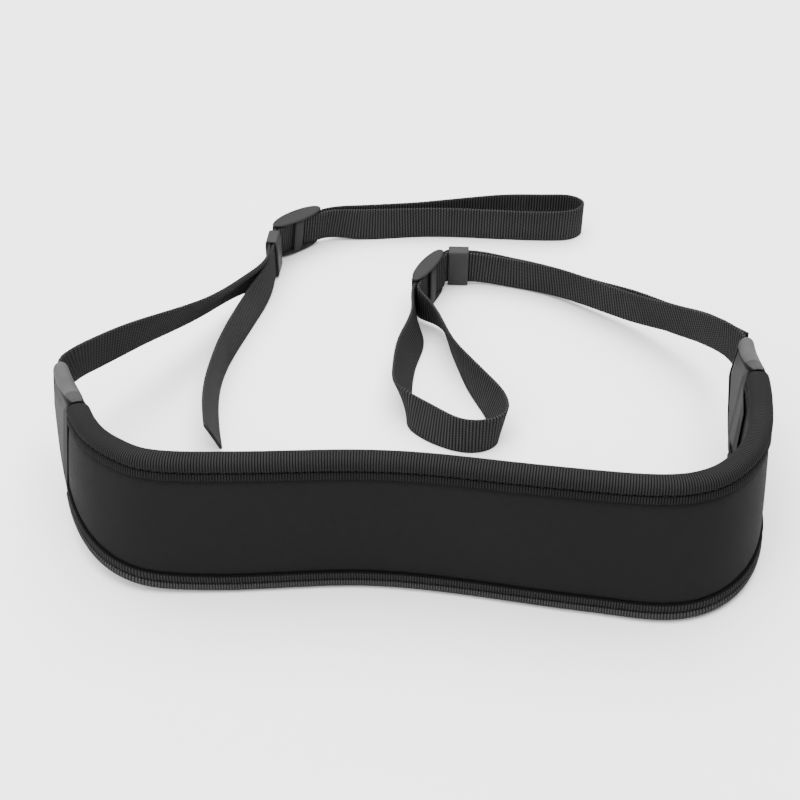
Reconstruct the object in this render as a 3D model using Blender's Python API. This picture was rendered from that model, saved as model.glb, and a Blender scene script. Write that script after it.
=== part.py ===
import bmesh
import bpy
import math
import numpy as np
from mathutils import Matrix

for old in list(bpy.data.objects):
    bpy.data.objects.remove(old, do_unlink=True)

# Named sizes in metres
RING_WIDTH = 0.300
RING_DEPTH = 0.250
PAD_HEIGHT = 0.069
PAD_THICKNESS = 0.0084
WEB_WIDTH = 0.019
WEB_THICKNESS = 0.0014
TAPE_LEG = 0.0097
TAPE_THICKNESS = 0.0012
PAD_PINCH = 0.0010
TAB_HEIGHT_AT_PAD = 0.052
TAB_HEIGHT_AT_WEB = 0.025
TAB_THICKNESS_AT_PAD = 0.0086
TAB_THICKNESS_AT_WEB = 0.0064
TAB_RECESS = 0.0007
TAB_RIM = 0.0048
SLIDER_LENGTH = 0.028
SLIDER_RAIL = 0.0018
SLIDER_BAR_WIDTH = 0.0050
SLIDER_END_BAR = 0.0025
SLIDER_BOW = 0.0048
SLIDER_EDGE = 0.0024
SLIDER_BELLY = 0.0031
SLIDER_END_INSET = 0.0007
SLIDER_WEAVE = 0.0009
KEEPER_LENGTH = 0.0100
KEEPER_WALL = 0.0011

# Clearances in metres
SEAM_GAP = 0.0003
LANE_GAP = 0.0005
SLOT_CLEARANCE = 0.0004
POCKET_DEPTH = 0.0060
FLOOR_SINK = 0.0004

# Sampling steps in metres and degrees
FINE_STEP = 0.0005
PAD_STEP = 0.0120
PAD_TURN = 13.0
WEB_STEP = 0.0100
WEB_TURN = 13.0

# Pad centre line from left tab to right tab
# across and back are shares of RING_WIDTH and RING_DEPTH, lean is in degrees towards the inside
PAD_PATH = [
    (-0.438, 0.180, 8.5),
    (-0.423, 0.136, 9.5),
    (-0.401, 0.092, 10.5),
    (-0.370, 0.054, 10.5),
    (-0.337, 0.031, 8.0),
    (-0.293, 0.021, 5.0),
    (-0.233, 0.019, 3.5),
    (-0.160, 0.022, 2.5),
    (-0.053, 0.026, 2.0),
    (0.033, 0.018, 2.5),
    (0.127, 0.000, 3.0),
    (0.207, -0.016, 4.0),
    (0.280, -0.029, 5.0),
    (0.327, -0.035, 6.5),
    (0.365, -0.032, 7.5),
    (0.402, -0.015, 8.0),
    (0.434, 0.018, 8.0),
    (0.457, 0.060, 7.0),
    (0.472, 0.112, 5.5),
    (0.4795, 0.172, 3.0),
    (0.4825, 0.226, 0.0),
    (0.4835, 0.262, -1.5),
]

# Pad height along its length, as shares of its length and of PAD_HEIGHT
PAD_OUTLINE = [
    (0.00, 0.743),
    (0.05, 0.814),
    (0.10, 0.893),
    (0.16, 0.964),
    (0.24, 1.000),
    (0.76, 1.000),
    (0.84, 0.964),
    (0.90, 0.893),
    (0.95, 0.814),
    (1.00, 0.743),
]

# Folded tape on one side of the pad from its crest to its lip
# out and down are shares of half PAD_THICKNESS and of TAPE_LEG
TAPE_FOLD = [
    (0.476, 0.000),
    (0.857, 0.103),
    (1.119, 0.371),
    (1.024, 0.639),
    (1.095, 0.825),
    (1.071, 1.000),
]

# Rolled rim of a tab from its crest to the panel: shares of half thickness and of TAB_RIM
TAB_ROLL = [(0.42, 0.00), (0.88, 0.21), (1.00, 0.54), (1.00, 0.875)]

# Tab centre lines from the pad outwards: across, back, lean
TAB_PATHS = {
    "left": [(-0.438, 0.180, -8.5), (-0.453, 0.230, -9.5), (-0.470, 0.291, -9.0), (-0.486, 0.352, -7.0)],
    "right": [(0.4835, 0.262, -1.5), (0.487, 0.312, -2.5), (0.492, 0.365, -4.0), (0.4975, 0.419, -5.0)],
}

# Tab sections: share of tab length, height fade from pad end to web end, recess depth share
TAB_SECTIONS = [
    (0.000, 0.00, 0.0),
    (0.060, 0.06, 0.0),
    (0.090, 0.10, 1.0),
    (0.250, 0.30, 1.0),
    (0.450, 0.55, 1.0),
    (0.650, 0.77, 1.0),
    (0.830, 0.91, 1.0),
    (0.870, 0.94, 0.0),
    (0.960, 1.00, 0.0),
    (1.000, 1.10, 0.0),
]

# Webbing runs from the tab to the keeper: across, back, height share, lean
# height share is 0 with the lower edge on the floor and 1 at the middle of the pad
RUN_PATHS = {
    "left": [
        (-0.486, 0.352, 1.00, -7.0),
        (-0.4882, 0.3615, 0.99, -7.0),
        (-0.4850, 0.374, 0.98, -5.0),
        (-0.473, 0.389, 1.02, -5.0),
        (-0.450, 0.415, 1.03, -6.0),
        (-0.388, 0.494, 0.885, -15.0),
        (-0.307, 0.602, 0.600, -29.0),
        (-0.253, 0.714, 0.30, -27.0),
        (-0.222, 0.785, 0.13, -10.0),
    ],
    "right": [
        (0.4975, 0.419, 1.00, -5.0),
        (0.4890, 0.463, 0.93, 2.0),
        (0.466, 0.521, 0.72, 9.0),
        (0.423, 0.585, 0.48, 13.0),
        (0.367, 0.647, 0.26, 10.0),
        (0.307, 0.705, 0.150, 9.0),
        (0.253, 0.752, 0.07, 8.0),
        (0.170, 0.790, 0.03, 8.0),
    ],
}

# Keepers: across, back, heading in degrees, lean, height share
KEEPERS = {
    "left": (-0.2110, 0.8420, 84.0, 0.0, 0.09),
    "right": (0.0965, 0.804, 178.0, 6.0, 0.07),
}

# Sliders: across, back, heading in degrees, lean, height share
SLIDERS = {
    "left": (-0.1765, 0.9105, 35.0, -11.0, 0.125),
    "right": (0.0470, 0.745, 240.5, 0.0, 0.095),
}

# Webbing loops from the slider and back to it: across, back, height share, lean
LOOP_PATHS = {
    "left": [
        (-0.075, 0.969, 0.02, -2.0),
        (0.033, 0.983, 0.00, -1.0),
        (0.117, 1.000, 0.00, -1.0),
        (0.200, 1.011, 0.00, -1.0),
        (0.267, 1.011, 0.00, -1.0),
        (0.303, 1.004, 0.00, -1.0),
        (0.316, 0.984, 0.00, 0.0),
        (0.304, 0.961, 0.00, 2.0),
        (0.267, 0.950, 0.00, 4.0),
        (0.170, 0.955, 0.00, 5.0),
        (0.033, 0.963, 0.00, 4.0),
        (-0.075, 0.954, 0.02, 3.0),
    ],
    "right": [
        (0.0535, 0.655, 0.05, -17.5),
        (0.0725, 0.600, 0.02, -15.5),
        (0.0870, 0.540, 0.00, -9.5),
        (0.1079, 0.480, 0.00, 4.0),
        (0.1304, 0.428, -0.01, 13.5),
        (0.1475, 0.380, -0.02, 17.5),
        (0.1470, 0.340, -0.01, 8.0),
        (0.1215, 0.3195, 0.00, 0.0),
        (0.0840, 0.3225, 0.00, -4.0),
        (0.0560, 0.3425, -0.01, -11.0),
        (0.0290, 0.3680, -0.01, -12.0),
        (0.0125, 0.3900, 0.00, -2.0),
        (0.0050, 0.4150, -0.02, 16.0),
        (0.0035, 0.4750, -0.04, 26.0),
        (0.0125, 0.5550, -0.03, 24.5),
        (0.0265, 0.6280, 0.01, 16.0),
    ],
}

# Webbing tails from the keeper to the cut tip: across, back, height share, lean
TAIL_PATHS = {
    "left": [
        (-0.216, 0.768, 0.04, -3.0),
        (-0.2350, 0.697, 0.00, -8.0),
        (-0.2555, 0.622, 0.00, -7.5),
        (-0.2725, 0.550, 0.00, -6.0),
        (-0.2815, 0.480, 0.00, -7.0),
        (-0.2830, 0.425, 0.00, -13.0),
        (-0.2795, 0.370, -0.01, -17.5),
        (-0.2722, 0.318, -0.01, -19.0),
    ],
    "right": [
        (0.1717, 0.7960, 0.03, -8.0),
        (0.2565, 0.7590, 0.02, -10.0),
        (0.3115, 0.7140, 0.09, -11.0),
        (0.3750, 0.6590, 0.22, -10.0),
        (0.4300, 0.5930, 0.39, -10.0),
        (0.4735, 0.5275, 0.65, -7.0),
        (0.4975, 0.4650, 0.85, -3.0),
        (0.5060, 0.4340, 0.97, 0.0),
    ],
}

# Cut tips: how far the upper and the lower edge run past the last row
TIP_REACH = {
    "left": (0.0016, -0.0012),
    "right": (0.0030, -0.0030),
}

SEAT_HEIGHT = WEB_WIDTH / 2.0
MIDDLE_HEIGHT = PAD_HEIGHT / 2.0
LANE_OFFSET = (WEB_THICKNESS + LANE_GAP) / 2.0


def smooth_values(knots, values, where):
    """Natural cubic spline through rows of values at the given knots."""
    x = np.asarray(knots, float)
    y = np.asarray(values, float)
    step = np.diff(x)
    count = len(x)
    matrix = np.eye(count)
    right = np.zeros_like(y)
    for i in range(1, count - 1):
        matrix[i, i - 1] = step[i - 1]
        matrix[i, i] = 2.0 * (step[i - 1] + step[i])
        matrix[i, i + 1] = step[i]
        right[i] = 6.0 * ((y[i + 1] - y[i]) / step[i] - (y[i] - y[i - 1]) / step[i - 1])
    bend = np.linalg.solve(matrix, right)
    k = np.clip(np.searchsorted(x, where, side="right") - 1, 0, count - 2)
    before = (x[k + 1] - where)[:, None]
    after = (where - x[k])[:, None]
    width = step[k][:, None]
    cubic = (bend[k] * before ** 3 + bend[k + 1] * after ** 3) / (6.0 * width)
    low = (y[k] / width - bend[k] * width / 6.0) * before
    high = (y[k + 1] / width - bend[k + 1] * width / 6.0) * after
    return cubic + low + high


def even_curve(rows, step):
    """Smooth curve through rows of x, y, z, lean with evenly spaced samples."""
    rows = np.asarray(rows, float)
    knots = np.concatenate([[0.0], np.cumsum(np.linalg.norm(np.diff(rows[:, :3], axis=0), axis=1))])
    dense = smooth_values(knots, rows, np.linspace(0.0, knots[-1], 40 * len(rows)))
    return resample(dense, step)


def resample(dense, step):
    """Evenly spaced samples along a dense curve."""
    along = np.concatenate([[0.0], np.cumsum(np.linalg.norm(np.diff(dense[:, :3], axis=0), axis=1))])
    count = max(2, int(round(along[-1] / step)) + 1)
    at = np.linspace(0.0, along[-1], count)
    return np.stack([np.interp(at, along, dense[:, i]) for i in range(dense.shape[1])], axis=1)


def frame_of(curve):
    """Points, travel, width and left directions of a curve of x, y, z, lean."""
    points = curve[:, :3]
    travel = np.gradient(points, axis=0)
    travel /= np.linalg.norm(travel, axis=1)[:, None]
    left = np.stack([-travel[:, 1], travel[:, 0], np.zeros(len(travel))], axis=1)
    left /= np.linalg.norm(left, axis=1)[:, None]
    lean = np.radians(curve[:, 3])[:, None]
    width = np.cos(lean) * np.array([0.0, 0.0, 1.0]) + np.sin(lean) * left
    width -= np.sum(width * travel, axis=1)[:, None] * travel
    width /= np.linalg.norm(width, axis=1)[:, None]
    side = np.cross(width, travel)
    return points, travel, width, side


def pick_stations(curve, longest, turn_limit):
    """Sample numbers spaced by length and by turn."""
    points, travel, width, side = frame_of(curve)
    length = np.linalg.norm(np.diff(points, axis=0), axis=1)
    cosine = np.clip(np.sum(travel[1:] * travel[:-1], axis=1), -1.0, 1.0)
    twist = np.clip(np.sum(width[1:] * width[:-1], axis=1), -1.0, 1.0)
    turn = np.degrees(np.arccos(cosine)) + 0.6 * np.degrees(np.arccos(twist))
    cost = np.concatenate([[0.0], np.cumsum(length / longest + turn / turn_limit)])
    count = int(math.ceil(cost[-1])) + 1
    return np.unique(np.searchsorted(cost, np.linspace(0.0, cost[-1], count)).clip(0, len(curve) - 1))


def place(row):
    """Row of shares to x, y, z, lean."""
    across, back, height, lean = row
    z = SEAT_HEIGHT + height * (MIDDLE_HEIGHT - SEAT_HEIGHT)
    return (across * RING_WIDTH, back * RING_DEPTH, z, lean)


def finish(name, vertices, faces, colour, roughness):
    """Make one closed object with smooth shading and its own material."""
    mesh = bpy.data.meshes.new(name)
    mesh.from_pydata([tuple(v) for v in vertices], [], [tuple(f) for f in faces])
    obj = bpy.data.objects.new(name, mesh)
    bpy.context.collection.objects.link(obj)
    bm = bmesh.new()
    bm.from_mesh(mesh)
    big = [f for f in bm.faces if len(f.verts) > 4]
    bmesh.ops.triangulate(bm, faces=big)
    bmesh.ops.recalc_face_normals(bm, faces=list(bm.faces))
    bm.to_mesh(mesh)
    bm.free()
    mesh.shade_smooth()
    mesh.set_sharp_from_angle(angle=math.radians(32.0))
    material = bpy.data.materials.new(name + "_finish")
    material.use_nodes = True
    shader = material.node_tree.nodes["Principled BSDF"]
    shader.inputs["Base Color"].default_value = (colour, colour, colour, 1.0)
    shader.inputs["Roughness"].default_value = roughness
    mesh.materials.append(material)
    return obj


def sweep(points, width, side, sections):
    """Closed tube through stations from a section of side and width offsets at each."""
    count = len(sections[0])
    vertices = []
    for i in range(len(points)):
        for out, up in sections[i]:
            vertices.append(points[i] + side[i] * out + width[i] * up)
    faces = []
    for i in range(len(points) - 1):
        for j in range(count):
            k = (j + 1) % count
            faces.append((i * count + j, i * count + k, (i + 1) * count + k, (i + 1) * count + j))
    faces.append(tuple(range(count)))
    faces.append(tuple((len(points) - 1) * count + j for j in reversed(range(count))))
    return vertices, faces


def mirrored(half):
    """Closed section from its points on one side, given top to bottom."""
    return half + [(-out, up) for out, up in reversed(half)]


# Pad centre line and stations
pad_rows = [place((a, b, 1.0, lean)) for a, b, lean in PAD_PATH]
pad_curve = even_curve(pad_rows, FINE_STEP)
pad_curve[:, 2] -= FLOOR_SINK
pad_share = np.linspace(0.0, 1.0, len(pad_curve))
pad_outline = np.array(PAD_OUTLINE)
pad_height = PAD_HEIGHT * smooth_values(pad_outline[:, 0], pad_outline[:, 1:], pad_share)[:, 0]
pad_height = np.minimum(pad_height, PAD_HEIGHT)
pad_points, pad_travel, pad_width, pad_side = frame_of(pad_curve)
pad_pick = pick_stations(pad_curve, PAD_STEP, PAD_TURN)


def pad_section(height):
    """Neoprene section, thin inside the tape and full between the tapes."""
    half = PAD_THICKNESS / 2.0
    inner = half - PAD_PINCH
    top = height / 2.0 - TAPE_THICKNESS - SEAM_GAP
    lip = height / 2.0 - TAPE_LEG - SEAM_GAP
    shoulder = top - 1.5 * TAPE_THICKNESS
    upper = [(0.40 * half, top), (inner, shoulder), (inner, lip), (0.98 * half, lip - PAD_PINCH)]
    lower = [(out, -up) for out, up in reversed(upper)]
    return mirrored(upper + [(1.05 * half, 0.0)] + lower)


def tape_section(height, sign):
    """Folded tape section: roll, stitched groove and lip on both sides."""
    half = PAD_THICKNESS / 2.0
    inner = half - PAD_PINCH + SEAM_GAP
    top = height / 2.0
    outside = [(out * half, top - down * TAPE_LEG) for out, down in TAPE_FOLD]
    shoulder = top - 2.5 * TAPE_THICKNESS
    inside = [(inner, top - TAPE_LEG), (inner, shoulder), (0.43 * half, top - TAPE_THICKNESS)]
    half_loop = outside + inside
    loop = half_loop + [(-out, up) for out, up in reversed(half_loop)]
    return [(out, up * sign) for out, up in loop]


pick = pad_pick
pad_sections = [pad_section(pad_height[i]) for i in pick]
pad_parts = sweep(pad_points[pick], pad_width[pick], pad_side[pick], pad_sections)
pad = finish("pad", pad_parts[0], pad_parts[1], 0.022, 0.62)

# Binding tapes, the lower one rests flat on the floor
for tape_name, sign in (("binding_upper", 1.0), ("binding_lower", -1.0)):
    tape_sections = [tape_section(pad_height[i], sign) for i in pick]
    tape_parts = sweep(pad_points[pick], pad_width[pick], pad_side[pick], tape_sections)
    tape_vertices = [np.array([v[0], v[1], max(v[2], 0.0)]) for v in tape_parts[0]]
    finish(tape_name, tape_vertices, tape_parts[1], 0.040, 0.80)


def tab_section(height, thickness, recess):
    """Moulded tab section with a rolled rim and a recessed panel on both sides."""
    half = thickness / 2.0
    top = height / 2.0
    rim = top - TAB_RIM
    low = half - recess * TAB_RECESS
    upper = [(out * half, top - down * TAB_RIM) for out, down in TAB_ROLL] + [(low, rim)]
    lower = [(out, -up) for out, up in reversed(upper)]
    return mirrored(upper + lower)


def tab_rows(side_name):
    """Tab centre line as x, y, z, lean, starting a seam gap past the pad."""
    rows = [place((a, b, 1.0, lean)) for a, b, lean in TAB_PATHS[side_name]]
    curve = even_curve(rows, FINE_STEP)
    curve[:, 2] -= FLOOR_SINK
    return curve


tab_curves = {}
for side_name in ("left", "right"):
    curve = tab_rows(side_name)
    tab_curves[side_name] = curve
    points, travel, width, side = frame_of(curve)
    joint = 0 if side_name == "left" else len(pad_curve) - 1
    ease = np.clip(np.linspace(0.0, 1.0, len(curve)) / 0.35, 0.0, 1.0)[:, None]
    ease = ease * ease * (3.0 - 2.0 * ease)
    flip = -1.0 if side_name == "left" else 1.0
    side = side * ease + (1.0 - ease) * flip * pad_side[joint]
    side /= np.linalg.norm(side, axis=1)[:, None]
    width = width * ease + (1.0 - ease) * pad_width[joint]
    width /= np.linalg.norm(width, axis=1)[:, None]
    length = FINE_STEP * (len(curve) - 1)
    picks = []
    sections = []
    for share, fade, recess in TAB_SECTIONS:
        start = SEAM_GAP / length
        picks.append(int(round((start + share * (1.0 - start)) * (len(curve) - 1))))
        height = TAB_HEIGHT_AT_PAD + fade * (TAB_HEIGHT_AT_WEB - TAB_HEIGHT_AT_PAD)
        thickness = TAB_THICKNESS_AT_PAD + min(fade, 1.0) * (TAB_THICKNESS_AT_WEB - TAB_THICKNESS_AT_PAD)
        if share == 1.0:
            thickness *= 0.86
        sections.append(tab_section(height, thickness, recess))
    picks[0] = 1
    tab_parts = sweep(points[picks], width[picks], side[picks], sections)
    tab = finish("end_tab_" + side_name, tab_parts[0], tab_parts[1], 0.150, 0.30)
    # Pocket that takes the end of the webbing
    deep = int(round(POCKET_DEPTH / FINE_STEP))
    tail_picks = [len(curve) - 1 - deep, len(curve) - 1 - deep // 2, len(curve) - 1]
    half_slot = WEB_THICKNESS / 2.0 + SLOT_CLEARANCE
    half_open = WEB_WIDTH / 2.0 + SLOT_CLEARANCE
    slot = [(half_slot, half_open), (half_slot, -half_open)]
    slot += [(-half_slot, -half_open), (-half_slot, half_open)]
    cut_points = points[tail_picks]
    cut_points = np.vstack([cut_points, cut_points[-1] + travel[-1] * 0.7 * POCKET_DEPTH])
    cut_width = np.vstack([width[tail_picks], width[-1]])
    cut_side = np.vstack([side[tail_picks], side[-1]])
    cut_parts = sweep(cut_points, cut_width, cut_side, [slot] * 4)
    cutter = finish("pocket_" + side_name, cut_parts[0], cut_parts[1], 0.1, 0.5)
    cutter.hide_render = True
    cutter.display_type = "WIRE"
    cut = tab.modifiers.new("pocket", "BOOLEAN")
    cut.operation = "DIFFERENCE"
    cut.solver = "EXACT"
    cut.object = cutter


def held_frame(spot):
    """Centre, axis, outward side and width of a keeper or slider."""
    across, back, heading, lean, height = spot
    centre = np.array(place((across, back, height, lean))[:3])
    angle = math.radians(heading)
    axis = np.array([math.cos(angle), math.sin(angle), 0.0])
    left = np.array([-math.sin(angle), math.cos(angle), 0.0])
    tilt = math.radians(lean)
    width = math.cos(tilt) * np.array([0.0, 0.0, 1.0]) + math.sin(tilt) * left
    return centre, axis, np.cross(width, axis), width


def lane(spot, length, offset, weave, reverse):
    """Path of one webbing layer through a keeper or slider."""
    centre, axis, side, width = held_frame(spot)
    along = np.linspace(-length / 2.0, length / 2.0, 25)
    wave = weave * np.cos(2.0 * np.pi * along / length)
    points = centre + along[:, None] * axis + (offset + wave)[:, None] * side
    lean = np.full((len(along), 1), spot[3])
    rows = np.hstack([points, lean])
    if reverse:
        rows = rows[::-1].copy()
        rows[:, 3] *= -1.0
    return rows


def band_curve(side_name):
    """Whole webbing band: run, keeper, slider, loop, slider, keeper, tail."""
    outward = 1.0 if side_name == "left" else -1.0
    keeper = KEEPERS[side_name]
    slider = SLIDERS[side_name]
    weave = SLIDER_WEAVE * outward
    keep_out = lane(keeper, 1.2 * KEEPER_LENGTH, LANE_OFFSET, 0.0, False)
    slide_out = lane(slider, SLIDER_LENGTH, LANE_OFFSET, weave, False)
    slide_back = lane(slider, SLIDER_LENGTH, -LANE_OFFSET, weave, True)
    keep_back = lane(keeper, 1.2 * KEEPER_LENGTH, -LANE_OFFSET, 0.0, True)
    tab = tab_curves[side_name]
    start = int(round((POCKET_DEPTH - SLOT_CLEARANCE) / FINE_STEP))
    run = [tab[-start - 1], tab[-start // 2]] + [place(row) for row in RUN_PATHS[side_name]]
    run[2] = tab[-1]
    run = even_curve(run + [keep_out[0], keep_out[12], keep_out[24]], FINE_STEP)
    loop = [place(row) for row in LOOP_PATHS[side_name]]
    loop = [slide_out[22], slide_out[24]] + loop + [slide_back[0], slide_back[2]]
    loop = even_curve(loop, FINE_STEP)
    tail = [place(row) for row in TAIL_PATHS[side_name]]
    tail = even_curve([keep_back[0], keep_back[12], keep_back[24]] + tail, FINE_STEP)
    whole = np.vstack([run, slide_out[1:22], loop, slide_back[3:-1], tail])
    whole = resample(whole, FINE_STEP)
    reach = 5
    weights = np.exp(-0.5 * (np.arange(-reach, reach + 1) / 2.2) ** 2)
    weights /= weights.sum()
    padded = np.vstack([2 * whole[0] - whole[reach:0:-1], whole, 2 * whole[-1] - whole[-2:-reach - 2:-1]])
    columns = [np.convolve(padded[:, i], weights, mode="valid") for i in range(4)]
    return np.stack(columns, axis=1)


# Webbing bands
for side_name in ("left", "right"):
    curve = band_curve(side_name)
    points, travel, width, side = frame_of(curve)
    picks = pick_stations(curve, WEB_STEP, WEB_TURN)
    half = WEB_THICKNESS / 2.0
    edge = WEB_WIDTH / 2.0
    section = [(half, edge), (half, -edge), (-half, -edge), (-half, edge)]
    band_parts = sweep(points[picks], width[picks], side[picks], [section] * len(picks))
    band_vertices = [np.array([v[0], v[1], max(v[2], 0.0)]) for v in band_parts[0]]
    upper, lower = TIP_REACH[side_name]
    for corner, reach in ((-4, upper), (-3, lower), (-2, lower), (-1, upper)):
        band_vertices[corner] = band_vertices[corner] + travel[-1] * reach
    finish("webbing_" + side_name, band_vertices, band_parts[1], 0.035, 0.85)


def prism(name, profile, low, high, spot, outward, colour, roughness):
    """Prism from a profile of along and outward pairs between two heights across the band."""
    centre, axis, side, width = held_frame(spot)
    vertices = []
    for up in (low, high):
        for along, out in profile:
            vertices.append(centre + axis * along + side * out * outward + width * up)
    count = len(profile)
    faces = [tuple(range(count)), tuple(range(2 * count - 1, count - 1, -1))]
    for j in range(count):
        k = (j + 1) % count
        faces.append((j, k, count + k, count + j))
    return finish(name, vertices, faces, colour, roughness)


def box_profile(start, end, inner, outer):
    """Four corners of a rectangle along and outward."""
    return [(start, inner), (end, inner), (end, outer), (start, outer)]


def join_to(body, extra):
    """Fuse another solid into the body."""
    extra.hide_render = True
    extra.display_type = "WIRE"
    add = body.modifiers.new("join", "BOOLEAN")
    add.operation = "UNION"
    add.solver = "EXACT"
    add.object = extra


# Sliders and keepers
for side_name in ("left", "right"):
    outward = 1.0 if side_name == "left" else -1.0
    spot = SLIDERS[side_name]
    half_length = SLIDER_LENGTH / 2.0
    inside = WEB_WIDTH / 2.0 + SLOT_CLEARANCE
    outside = inside + SLIDER_RAIL
    ends = np.cos(np.linspace(0.0, np.pi, 11)) * half_length
    bowed = [(a, SLIDER_EDGE + (SLIDER_BOW - SLIDER_EDGE) * (1.0 - (a / half_length) ** 2)) for a in ends]
    flat = [(a, -SLIDER_BELLY * (1.0 - 0.93 * (a / half_length) ** 2)) for a in ends[::-2]]
    rail = bowed + flat
    body = prism("slider_" + side_name, rail, inside, outside, spot, outward, 0.11, 0.34)
    lower_rail = prism("rail_" + side_name, rail, -outside, -inside, spot, outward, 0.11, 0.34)
    join_to(body, lower_rail)
    bar_face = LANE_OFFSET + WEB_THICKNESS / 2.0 - SLIDER_WEAVE + LANE_GAP
    bar_end = half_length - SLIDER_END_INSET
    bars = [
        box_profile(-SLIDER_BAR_WIDTH / 2.0, SLIDER_BAR_WIDTH / 2.0, -0.95 * SLIDER_BELLY, -bar_face),
        box_profile(bar_end - SLIDER_END_BAR, bar_end, bar_face, SLIDER_EDGE),
        box_profile(-bar_end, -bar_end + SLIDER_END_BAR, bar_face, SLIDER_EDGE),
    ]
    reach = inside + SLIDER_RAIL / 2.0
    for number, profile in enumerate(bars):
        bar = prism("bar_%s_%d" % (side_name, number), profile, -reach, reach, spot, outward, 0.11, 0.34)
        join_to(body, bar)
    spot = KEEPERS[side_name]
    half_open = WEB_THICKNESS + LANE_GAP / 2.0 + SLOT_CLEARANCE
    half_wall = half_open + KEEPER_WALL
    keeper_half = KEEPER_LENGTH / 2.0
    outer = box_profile(-keeper_half, keeper_half, -half_wall, half_wall)
    cheek = inside + KEEPER_WALL
    sleeve = prism("keeper_" + side_name, outer, -cheek, cheek, spot, 1.0, 0.10, 0.36)
    hollow = box_profile(-1.4 * keeper_half, 1.4 * keeper_half, -half_open, half_open)
    bore = prism("bore_" + side_name, hollow, -inside, inside, spot, 1.0, 0.1, 0.5)
    bore.hide_render = True
    bore.display_type = "WIRE"
    bevel = sleeve.modifiers.new("round", "BEVEL")
    bevel.width = 0.45 * KEEPER_WALL
    bevel.segments = 2
    cut = sleeve.modifiers.new("bore", "BOOLEAN")
    cut.operation = "DIFFERENCE"
    cut.solver = "EXACT"
    cut.object = bore

# Origin at the bottom centre of the whole strap
bpy.context.view_layer.update()
shown = [o for o in bpy.data.objects if o.type == "MESH" and not o.hide_render]
corners = np.array([tuple(v.co) for o in shown for v in o.data.vertices])
middle = (corners.min(axis=0) + corners.max(axis=0)) / 2.0
shift = Matrix.Translation((-middle[0], -middle[1], 0.0))
for obj in bpy.data.objects:
    obj.data.transform(shift)
    obj.data.update()
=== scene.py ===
import math

import bmesh
import bpy
import numpy as np
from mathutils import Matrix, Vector


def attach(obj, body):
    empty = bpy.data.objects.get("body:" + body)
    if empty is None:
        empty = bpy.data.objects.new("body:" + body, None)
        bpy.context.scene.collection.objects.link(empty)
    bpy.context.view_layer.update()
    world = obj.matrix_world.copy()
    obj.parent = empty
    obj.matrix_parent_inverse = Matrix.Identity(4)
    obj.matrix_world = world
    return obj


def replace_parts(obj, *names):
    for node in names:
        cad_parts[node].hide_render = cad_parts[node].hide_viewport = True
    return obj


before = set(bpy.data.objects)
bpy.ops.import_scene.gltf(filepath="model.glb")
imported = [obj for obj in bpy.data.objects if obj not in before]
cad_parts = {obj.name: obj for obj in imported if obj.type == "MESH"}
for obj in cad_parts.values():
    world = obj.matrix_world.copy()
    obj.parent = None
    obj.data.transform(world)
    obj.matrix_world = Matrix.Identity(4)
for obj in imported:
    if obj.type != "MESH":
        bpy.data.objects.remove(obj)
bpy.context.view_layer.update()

# Sizes in metres, as the part has them
RING_WIDTH = 0.300
RING_DEPTH = 0.250
PAD_HEIGHT = 0.069
PAD_THICKNESS = 0.0084
WEB_WIDTH = 0.019
WEB_THICKNESS = 0.0014
TAPE_LEG = 0.0097
TAPE_THICKNESS = 0.0012
TAB_HEIGHT_AT_PAD = 0.052
TAB_HEIGHT_AT_WEB = 0.025
TAB_THICKNESS_AT_PAD = 0.0086
TAB_THICKNESS_AT_WEB = 0.0064
SLIDER_LENGTH = 0.028
SLIDER_RAIL = 0.0018
SLIDER_BAR_WIDTH = 0.0050
SLIDER_END_BAR = 0.0025
SLIDER_BOW = 0.0048
SLIDER_WEAVE = 0.0009
KEEPER_LENGTH = 0.0100
KEEPER_WALL = 0.0011
POCKET_DEPTH = 0.0060
LANE_GAP = 0.0005
SLOT_CLEARANCE = 0.0004
FLOOR_SINK = 0.0004
FINE_STEP = 0.0005

# Place in the ring that becomes the origin: across, back
MIDDLE = (0.0018184, 0.1182640)

# Sizes of the finer forms in metres
TAPE_RIB = 0.00108
WEB_RIB = 0.00142
RIB_LIFT = 0.00017
SLOW_LIFT = 0.00012
SEWN_FROM_CREST = 0.00855
STITCH_PITCH = 0.0032
STITCH_SPREAD = 0.00006
STITCH_DROP = 0.0053
STITCH_OUT = 0.00368
STITCH_BOW = 0.00034
THREAD = 0.00042
PAD_PINCH = 0.0009
PAD_PULL = 0.0001
PAD_END_ROUND = 0.0034
PAD_CLEAR = 0.0006
SWELL_CAP = 0.0006
PANEL_RECESS = 0.0003
PANEL_CROWN = 0.0008
PANEL_GROOVE = 0.0004
TAB_CORNER = 0.0040
TAB_EDGE_ROUND = 0.0040
TAB_START_ROUND = 0.0022
TAB_STOP_ROUND = 0.0045
TAB_LIP = 0.00012
TAB_RIM_AT_PAD = 0.0016
TAB_RIM_AT_WEB = 0.0072
TAB_LAP = 0.0130
TAB_LAP_OUT = 0.0052
RAIL_TIP_OUT = 0.0024
RAIL_TIP_IN = 0.0014
RAIL_BELLY = 0.0017
MIDDLE_BAR_IN = 0.0021
MIDDLE_BAR_THICKNESS = 0.0017
END_BAR_OUT = 0.0019
END_BAR_THICKNESS = 0.0012
END_BAR_INSET = 0.0007
BAR_BITE = 0.0004
KEEPER_LEAD = 0.002

# Sizes of the painted patterns and of the painted shade, in millimetres
TAPE_YARN = 0.90
WEB_YARN = 0.95
KNIT_WALE = 0.45
KNIT_COURSE = 0.36
# Painted shade on the tapes: reach of the dark groove on the sewn line, edge of the dark crevice at
# the pad and its reach, reach of the dark tape ends
SEWN_SHADE_REACH = 0.68
TAPE_EDGE = 12.9
TAPE_EDGE_SHADE = 0.6
TAPE_END_SHADE = 0.8
# Reaches over which the ribs fade towards the ends
UPPER_TAPE_CALM = 48.0
LEFT_BAND_CALM = 110.0
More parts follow.
